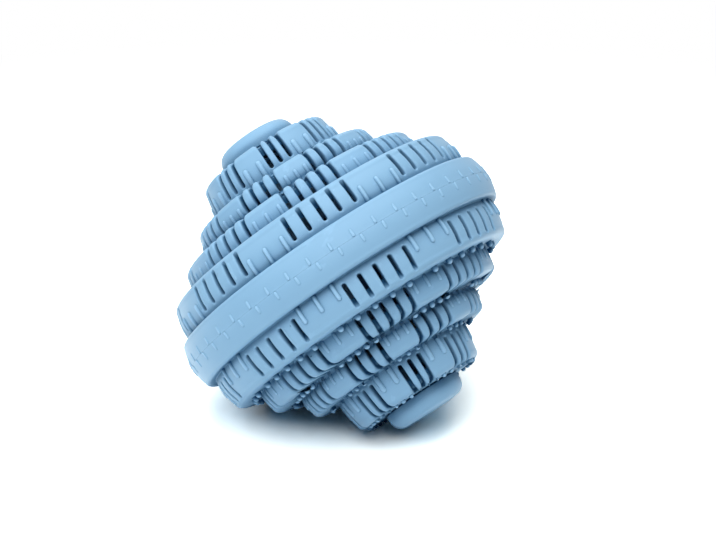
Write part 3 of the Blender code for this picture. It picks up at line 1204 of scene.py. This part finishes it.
            # Slot walls near the surface get less of the painted shade.
            inside = (height > tier.foot + self.cut_margin[0]) & (height < tier.top - self.cut_margin[1])
            inside &= (deep > self.cut_start) & (deep < self.plan.wall)
            cut = np.where(inside, np.clip(1.0 - (deep - self.cut_full) / self.cut_fade, 0.0, 1.0), cut)
            on_wall = (height > tier.foot + self.ledge_round) & (height < tier.tick_top)
            out = self.share(-deep, 0.5 * tier.tick_height)
            raised = np.where(on_wall, tier.mark_light * out, raised)
            on_ledge = (height > tier.top) & (height < tier.top + self.nub_halo * tier.nub_height)
            on_ledge &= np.abs(radius - tier.nub_circle) < self.nub_halo * tier.nub_radius
            out = self.share(height - tier.top, tier.nub_height)
            raised = np.where(on_ledge, self.nub_light * out, raised)
        for name, values in (("land", land), ("cut", cut), ("raised", raised)):
            mesh.attributes.new(name, "FLOAT", "POINT").data.foreach_set("value", values)

    def build(self) -> Mesh:
        """Build the half shell once, in its own upright frame.

        Returns:
            The finished mesh.
        """
        outline = MeshShop.divide(self.outer_outline(), self.outer_stretch)
        outline += MeshShop.divide(self.inner_outline(), self.inner_stretch)
        blank = MeshShop.revolve("half_shell_blank", outline, self.segments)
        mesh = MeshShop.combine("half_shell", blank, self.relief(), self.slots())
        self.mark(mesh)
        return MeshShop.smooth(mesh)


@dataclass
class EndCap:
    """Rounded button that closes the end of a half shell."""

    plan: BallPlan
    corner: float = 3.4 * MM
    corner_steps: int = 16
    socket_ease: float = 0.2 * MM
    mouth_ease: float = 0.4 * MM
    stem_ease: float = 0.5 * MM
    rim_ease: float = 0.25 * MM
    stretch: float = 1.5 * MM
    segments: int = 128

    def outline(self) -> list[Point]:
        """Outline of the cap from its blind socket round to the middle of its outer face.

        Returns:
            Points of radius and height.
        """
        plan, end = self.plan, self.plan.stem_end
        under, socket = plan.tiers[3].top + plan.gap, end + plan.socket_depth
        points = [(0.0, socket), (plan.bore - self.socket_ease, socket)]
        points += [(plan.bore, socket - self.socket_ease), (plan.bore, end + self.mouth_ease)]
        points.append((plan.bore + self.mouth_ease, end))
        points += [(plan.stem_radius - self.stem_ease, end), (plan.stem_radius, end + self.stem_ease)]
        points += [(plan.stem_radius, under), (plan.cap_radius - self.rim_ease, under)]
        points.append((plan.cap_radius, under + self.rim_ease))
        for step in range(self.corner_steps + 1):
            turn = 0.5 * pi * step / self.corner_steps
            inset, drop = self.corner * (1.0 - cos(turn)), plan.cap_round * (1.0 - sin(turn))
            points.append((plan.cap_radius - inset, plan.cap_top - drop))
        return points + [(0.0, plan.cap_top)]

    def build(self) -> Mesh:
        """Build the cap in the half shell's own frame."""
        profile = MeshShop.divide(self.outline(), self.stretch)
        return MeshShop.smooth(MeshShop.revolve("end_cap", profile, self.segments, closed=False))


@dataclass
class JoiningRing:
    """Plain ring inside the band, with eased edges and a shallow grip groove at its middle."""

    plan: BallPlan
    edge: float = 0.35 * MM
    groove: float = 0.25 * MM
    groove_mouth: float = 0.6 * MM
    groove_floor: float = 0.35 * MM
    segments: int = 240

    def build(self) -> Mesh:
        """Build the ring in the upright frame.

        Returns:
            The mesh.
        """
        outer = self.plan.ring_seat - self.plan.gap
        inner, top, edge = outer - self.plan.ring_thickness, self.plan.ring_half_height, self.edge
        profile = MeshShop.mirror([(outer - edge, -top), (outer, edge - top), (outer, -self.groove_mouth),
                                   (outer - self.groove, -self.groove_floor)])
        profile += MeshShop.mirror([(inner + edge, top), (inner, top - edge)])
        return MeshShop.smooth(MeshShop.revolve("joining_ring_fine", profile, self.segments))


@dataclass
class ChamberDivider:
    """Hub tube with four vanes, drained by rows of round holes."""

    plan: BallPlan
    thickness: float = 1.6 * MM
    clearance: float = 0.7 * MM
    corner: float = 1.6 * MM
    setback: float = 5.2 * MM
    ease: float = 0.3 * MM
    vanes: int = 4
    segments: int = 64
    hole_radius: float = 1.5 * MM
    hole_facets: int = 20

    @property
    def hub_radius(self) -> float:
        """Outside radius of the hub tube."""
        return self.plan.bore + self.plan.hub_wall

    def outline(self) -> list[Point]:
        """Edge of one vane: near the wall in the lower half, set back in the upper half.

        Returns:
            Points of radius and height.
        """
        plan, clear, corner = self.plan, self.clearance, self.corner
        inside, back = self.hub_radius - 0.5 * plan.hub_wall, 0.5 * self.setback
        radii = [plan.inner_radius(tier) for tier in range(4)]
        tops = [plan.inner_top(tier) for tier in range(4)]
        foot = clear - tops[3] + plan.stem_length
        points = [(inside, foot), (radii[3] - clear - corner, foot), (radii[3] - clear, foot + corner)]
        for tier in (2, 1, 0):
            level, edge = clear - tops[tier], radii[tier] - clear
            points += [(radii[tier + 1] - clear, level), (edge - corner, level), (edge, level + corner)]
        points += [(radii[0] - clear, 0.0), (radii[0] - self.setback, clear)]
        points += [(radii[1] - self.setback, tops[0] - back), (radii[3] - back, tops[2] - back)]
        return points + [(inside, tops[2] - back)]

    @staticmethod
    def holes() -> list[Point]:
        """Middles of the drain holes of one vane.

        Returns:
            Points of radius and height.
        """
        rows = ((-25.0, (13.0, 19.0)), (-17.5, (13.0, 20.0, 27.0)), (-10.0, (13.0, 20.0, 27.0, 34.0)),
                (-2.5, (13.0, 20.0, 27.0, 34.0)), (5.0, (13.0, 20.0, 27.0)), (12.5, (13.0, 20.0)))
        return [(radius * MM, height * MM) for height, radii in rows for radius in radii]

    def build(self) -> Mesh:
        """Build the divider with its first vane on +X.

        Returns:
            The mesh.
        """
        outer, bore, ease = self.hub_radius, self.plan.bore, self.ease
        end = self.plan.stem_end - self.plan.gap
        profile = MeshShop.mirror([(outer - ease, -end), (outer, ease - end)])
        profile += MeshShop.mirror([(bore + ease, end), (bore, end - ease)])
        hub = MeshShop.revolve("divider_hub", profile, self.segments)
        sheet = [[(r, side * self.thickness, z) for r, z in self.outline()] for side in (-0.5, 0.5)]
        turns = MeshShop.circle(self.vanes)
        vanes = MeshShop.repeat("divider_vanes", [(MeshShop.loft(sheet), turns)])
        drills = []
        for radius, height in self.holes():
            ring = MeshShop.arc((radius, height), self.hole_radius, 0.0, 2.0 * pi, self.hole_facets)[:-1]
            sides = [[(r, side * self.thickness, z) for r, z in ring] for side in (-1.0, 1.0)]
            drills.append((MeshShop.loft(sides), turns))
        drilled = MeshShop.repeat("divider_holes", drills)
        return MeshShop.smooth(MeshShop.combine("chamber_divider_fine", hub, vanes, drilled))


@dataclass
class Spindle:
    """Round rod on the axis, with eased ends."""

    plan: BallPlan
    ease: float = 0.5 * MM
    ease_steps: int = 4
    segments: int = 64

    def build(self) -> Mesh:
        """Build the spindle in the upright frame.

        Returns:
            The mesh.
        """
        end = self.plan.stem_end + self.plan.socket_depth - self.plan.gap
        flat = self.plan.spindle_radius - self.ease
        low = [(0.0, -end), (flat, -end)]
        low += MeshShop.arc((flat, self.ease - end), self.ease, -0.5 * pi, 0.0, self.ease_steps)[1:]
        mesh = MeshShop.revolve("spindle_fine", MeshShop.mirror(low), self.segments, closed=False)
        return MeshShop.smooth(mesh)


@dataclass
class Bead:
    """A pressed ceramic bead: nearly round, with a faint press belt and small dents."""

    kind: BeadKind
    number: int
    radius: float = 3.8 * MM
    dent: float = 0.06 * MM
    mean_share: float = 0.7
    belt_share: float = 0.5
    belt_width: float = 0.10
    wave_share: float = 0.6
    waves: int = 9
    wave_rate: float = 2.3
    seed_steps: tuple[int, int] = (31, 7)

    @property
    def node(self) -> str:
        """Name of the CAD node that this bead stands for."""
        return "bead_%s_%d" % (self.kind.value, self.number)

    @property
    def seed(self) -> int:
        """Number from which the dents of this one bead are drawn."""
        (each, kind), name = self.seed_steps, self.kind.value
        return each * self.number + kind * len(name) + ord(name[1])

    def build(self) -> Mesh:
        """Build the bead round its own middle.

        Returns:
            The mesh.
        """
        rng = np.random.default_rng(self.seed)
        bm = bmesh.new()
        bmesh.ops.create_icosphere(bm, subdivisions=5, radius=1.0)
        waves = rng.normal(size=(self.waves, 3)) * self.wave_rate
        phases = rng.uniform(0.0, 2.0 * pi, self.waves)
        axis = Vector(rng.normal(size=3)).normalized()
        for vert in bm.verts:
            way = vert.co.normalized()
            total = sum(sin(way.dot(Vector(wave)) + phase) for wave, phase in zip(waves, phases))
            belt = max(0.0, 1.0 - abs(way.dot(axis)) / self.belt_width)
            sunk = self.mean_share - self.belt_share * belt - self.wave_share * (total / self.waves)
            vert.co = way * (self.radius - self.dent * sunk)
        mesh = MeshShop.write(self.node + "_fine", bm)
        mesh.shade_smooth()
        return mesh


@dataclass
class Studio:
    """Pale floor, soft lights, and the camera at the photograph's angle."""

    plan: BallPlan
    image: tuple[int, int] = (716, 540)
    ball_middle: Point = (340.95, 273.17)
    roll: float = radians(33.55)
    towards: float = radians(7.02)
    distance: float = 0.744
    focal_pixels: float = 2500.0
    sensor: float = 36.0
    nearest: float = 0.01
    floor_size: float = 6.0
    floor_cells: int = 8
    floor_colour: Colour = (0.80, 0.85, 0.88)
    floor_seen: Colour = (2.50, 2.45, 2.26)
    floor_fade: Point = (0.16, 0.40)
    world_colour: Colour = (0.45, 0.76, 1.00)
    world_strength: float = 0.07
    lamps: tuple[tuple[str, Place, float, float], ...] = (
        ("front_softbox", (0.45, -0.62, 0.95), 0.80, 6.9),
        ("overhead_softbox", (0.0, 0.0, 1.20), 1.00, 8.0),
        ("back_softbox", (-0.45, 0.62, 0.95), 0.80, 1.6),
        ("left_softbox", (-0.55, -0.75, 0.75), 0.80, 3.8))

    def floor(self) -> None:
        """Wide pale floor under the ball that shows white to the camera and keeps the shadow."""
        bm = bmesh.new()
        cells = self.floor_cells
        bmesh.ops.create_grid(bm, x_segments=cells, y_segments=cells, size=self.floor_size)
        for vert in bm.verts:
            vert.co.z = -self.plan.rest_height
        mesh = MeshShop.write("studio_floor", bm)
        floor = MeshShop.show("studio_floor", mesh)
        material = bpy.data.materials.new("studio_floor")
        material.use_nodes = True
        wires = Wiring(material.node_tree)
        wires.tree.nodes.remove(wires.tree.nodes["Principled BSDF"])
        seen = self.seen_ray(wires)
        paper = wires.add("BsdfDiffuse", {"Color": wires.mix(seen, self.floor_colour, self.floor_seen)})
        away = self.far_away(wires, seen)
        self.whiten(wires, "Emission", away, paper, wires.tree.nodes["Material Output"])
        mesh.materials.append(material)

    def far_away(self, wires: Wiring, seen: NodeSocket) -> NodeSocket:
        """One for seen rays that meet the floor well away from the ball, past its shadow.

        Args:
            wires: The floor's node tree.
            seen: Socket that is one for seen rays.

        Returns:
            The socket with the value.
        """
        spot = wires.add("NewGeometry").outputs["Position"]
        length = wires.add("VectorMath", {0: spot}, operation="LENGTH").outputs["Value"]
        fade = wires.ramp(length, *self.floor_fade, interpolation_type="SMOOTHSTEP")
        return wires.math("MULTIPLY", fade, seen)

    @staticmethod
    def seen_ray(wires: Wiring) -> NodeSocket:
        """One for rays from the camera, in a reflection or through glass, and zero for light.

        Args:
            wires: Node tree that gets the nodes.

        Returns:
            The socket with the value.
        """
        rays = wires.add("LightPath").outputs
        seen = wires.math("MAXIMUM", rays["Is Camera Ray"], rays["Is Glossy Ray"])
        return wires.math("MAXIMUM", seen, rays["Is Transmission Ray"])

    @staticmethod
    def whiten(wires: Wiring, kind: str, share: NodeSocket, plain: Node, end: Node) -> None:
        """Blend a shader with plain white and link it to the output of its tree.

        Args:
            wires: The node tree.
            kind: Type of the white shader.
            share: Share of the white.
            plain: The shader that is blended.
            end: The output node.
        """
        white = wires.add(kind, {"Color": WHITE, "Strength": 1.0})
        blend = wires.add("MixShader", {"Fac": share, 1: plain.outputs[0], 2: white.outputs[0]})
        wires.feed(end, {"Surface": blend.outputs[0]})

    def world(self) -> None:
        """White backdrop to the camera and an even pale light on the ball."""
        world = bpy.data.worlds.new("studio_world")
        bpy.context.scene.world = world
        world.use_nodes = True
        wires = Wiring(world.node_tree)
        backdrop = wires.tree.nodes["Background"]
        wires.feed(backdrop, {"Color": self.world_colour, "Strength": self.world_strength})
        output = wires.tree.nodes["World Output"]
        self.whiten(wires, "Background", self.seen_ray(wires), backdrop, output)

    @staticmethod
    def lamp(name: str, place: Place, size: float, power: float) -> None:
        """Add a soft square lamp that looks at the ball.

        Args:
            name: Name of the lamp.
            place: Its position in the row frame.
            size: Length of its side.
            power: Its power in watts.
        """
        data = bpy.data.lights.new(name, "AREA")
        data.size = size
        data.energy = power
        lamp = MeshShop.show(name, data)
        lamp.location = place
        lamp.rotation_euler = (-Vector(place)).to_track_quat("-Z", "Y").to_euler()

    def angles(self) -> Point:
        """Azimuth and elevation from which the axis shows the photograph's roll and tilt.

        Returns:
            Both angles.
        """
        lean = self.plan.lean
        azimuth = acos(cos(self.towards) * sin(self.roll) / sin(lean))
        side = sin(azimuth) * sin(lean)
        reach = sqrt(side ** 2 + cos(lean) ** 2)
        return azimuth, atan2(side, cos(lean)) - asin(sin(self.towards) / reach)

    def camera(self) -> None:
        """Camera at the photograph's angle and distance, framed as the photograph is."""
        azimuth, elevation = self.angles()
        away = Vector((sin(azimuth) * cos(elevation), -cos(azimuth) * cos(elevation), sin(elevation)))
        width, height = self.image
        data = bpy.data.cameras.new("photo_camera")
        data.sensor_fit = "HORIZONTAL"
        data.sensor_width = self.sensor
        data.lens = self.sensor * self.focal_pixels / width
        data.shift_x = (0.5 * width - self.ball_middle[0]) / width
        data.shift_y = (self.ball_middle[1] - 0.5 * height) / width
        data.clip_start = self.nearest
        camera = MeshShop.show("photo_camera", data)
        camera.location = away * self.distance
        camera.rotation_euler = (-away).to_track_quat("-Z", "Y").to_euler()
        bpy.context.scene.camera = camera
        LOG.info("camera azimuth %.2f elevation %.2f", degrees(azimuth), degrees(elevation))

    def build(self) -> None:
        """Set up the whole studio."""
        bpy.context.scene.view_settings.view_transform = "Standard"
        self.floor()
        self.world()
        for lamp in self.lamps:
            self.lamp(*lamp)
        self.camera()


@dataclass
class LaundryBall:
    """The whole ball: two half shells, two caps, ring, spindle, divider and beads."""

    plan: BallPlan
    shop: ShaderShop
    beads_per_kind: int = 7

    def dress(self, name: str, mesh: Mesh, matrix: Matrix, finish: PlasticFinish | CeramicFinish,
              body: str, node: str) -> None:
        """Place a finished piece, give it its finish, hang it on its moving body and hide its CAD node.

        Args:
            name: Name of the piece.
            mesh: Its mesh.
            matrix: Its place in the row frame, which goes into the mesh.
            finish: Its finish.
            body: Moving body that it rides on.
            node: CAD node that it stands for.
        """
        mesh.transform(matrix)
        piece = MeshShop.show(name, mesh)
        mesh.materials.clear()
        mesh.materials.append(self.shop.finish(finish))
        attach(piece, body)
        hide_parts(node)
        LOG.info("%s: %d faces on %s", name, len(mesh.polygons), body)

    def build_shells(self) -> None:
        """Build both half shells and both caps."""
        cap = EndCap(self.plan).build()
        for half in Half:
            shell = HalfShell(self.plan, studded=half is Half.LOWER).build()
            for name, mesh, node in (("half_shell_", shell, "shell_"), ("end_button_", cap.copy(), "cap_")):
                self.dress(name + half.value, mesh, self.plan.half_matrix(half), SHELL_FINISH,
                           half.body, node + half.value)

    def build_core(self) -> None:
        """Build the ring, the spindle and the divider."""
        plan, upright, lower = self.plan, self.plan.upright, Half.LOWER.body
        turned = upright @ Matrix.Rotation(plan.divider_azimuth, 4, "Z")
        ring, rod, divider = JoiningRing(plan).build(), Spindle(plan).build(), ChamberDivider(plan).build()
        self.dress("ring_inside_band", ring, upright, RING_FINISH, "ring", "joining_ring")
        self.dress("axle_rod", rod, upright, SPINDLE_FINISH, lower, "spindle")
        self.dress("vane_divider", divider, turned, CORE_FINISH, lower, "chamber_divider")

    def build_beads(self) -> None:
        """Build every bead where its CAD node lies."""
        for kind in BeadKind:
            for number in range(1, self.beads_per_kind + 1):
                bead = Bead(kind, number)
                low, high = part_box(bead.node)
                place = Matrix.Translation((Vector(low) + Vector(high)) * 0.5)
                self.dress(bead.node + "_pressed", bead.build(), place, BEAD_FINISHES[kind],
                           Half.LOWER.body, bead.node)

    def build(self) -> None:
        """Build every piece of the ball."""
        self.build_shells()
        self.build_core()
        self.build_beads()


def main() -> None:
    """Load the frame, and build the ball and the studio."""
    logging.basicConfig(level=logging.INFO, format="%(name)s: %(message)s")
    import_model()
    plan = BallPlan()
    LaundryBall(plan, ShaderShop()).build()
    Studio(plan).build()
    bpy.context.view_layer.update()


if __name__ == "__main__":
    main()
